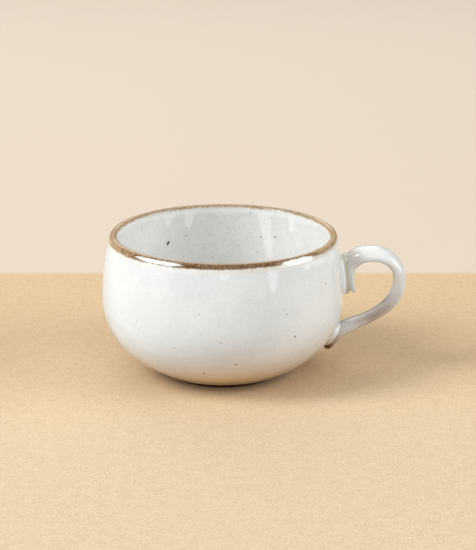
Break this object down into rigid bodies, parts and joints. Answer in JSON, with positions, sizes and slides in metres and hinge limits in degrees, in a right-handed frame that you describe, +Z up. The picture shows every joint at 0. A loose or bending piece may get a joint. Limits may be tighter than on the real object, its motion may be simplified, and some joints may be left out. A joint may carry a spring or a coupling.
{
  "type": "coffee cup",
  "caption": "Low round stoneware coffee cup with a pulled strap handle, white glaze inside and out, an iron-brown lip and a bare clay foot ring",
  "frame": {"origin": "middle of the cup's whole length and width, handle included, on the table that it stands on", "axes": "+Z up, +X towards the handle, +Y across it: the XZ plane is the handle's plane of symmetry"},
  "size_m": [0.1234, 0.098, 0.0575],
  "materials": {
    "clay": "bare fired stoneware, matt and slightly sandy",
    "slip": "luting slip under the same white glaze",
    "white_glaze": "glossy off-white glaze with small iron specks",
    "iron_band": "iron-brown, where the glaze breaks thin over the lip"
  },
  "bodies": {
    "root": {"clay_bowl": "clay", "foot_ring": "clay", "handle_strap": "clay", "upper_slip": "slip", "lower_slip": "slip", "outer_glaze": "white_glaze", "inner_glaze": "white_glaze", "handle_glaze": "white_glaze", "lip_band": "iron_band"}
  },
  "joints": []
}
